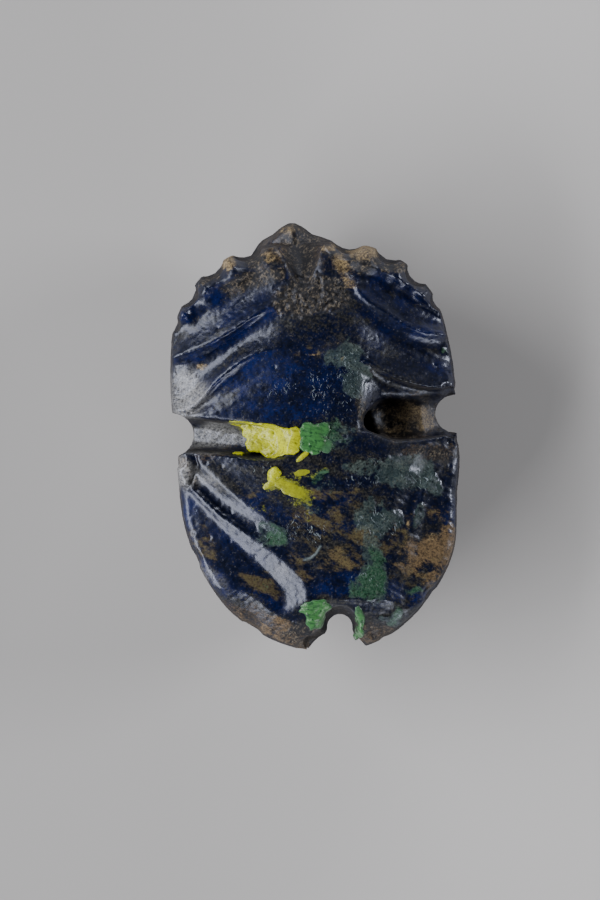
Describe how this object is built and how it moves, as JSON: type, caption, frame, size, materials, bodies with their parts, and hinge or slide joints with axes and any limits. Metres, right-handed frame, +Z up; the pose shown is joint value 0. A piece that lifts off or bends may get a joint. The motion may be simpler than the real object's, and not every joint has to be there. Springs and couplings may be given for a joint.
{
  "type": "scarab amulet",
  "caption": "Small carved stone scarab amulet with folded legs, toothed forelegs, a domed back and a threading channel round its waist.",
  "frame": {"origin": "middle of the underside flat spot, on the surface that the amulet lies on", "axes": "+Y towards the head, +Z up through the carved face, +X to the right when looking down on the carved face with the head away"},
  "size_m": [0.014, 0.0212, 0.0077],
  "materials": {
    "lapis_stone": "polished lapis lazuli, deep blue with brown and olive veins, worn and scratched"
  },
  "bodies": {
    "root": {"scarab": "lapis_stone"}
  },
  "joints": []
}
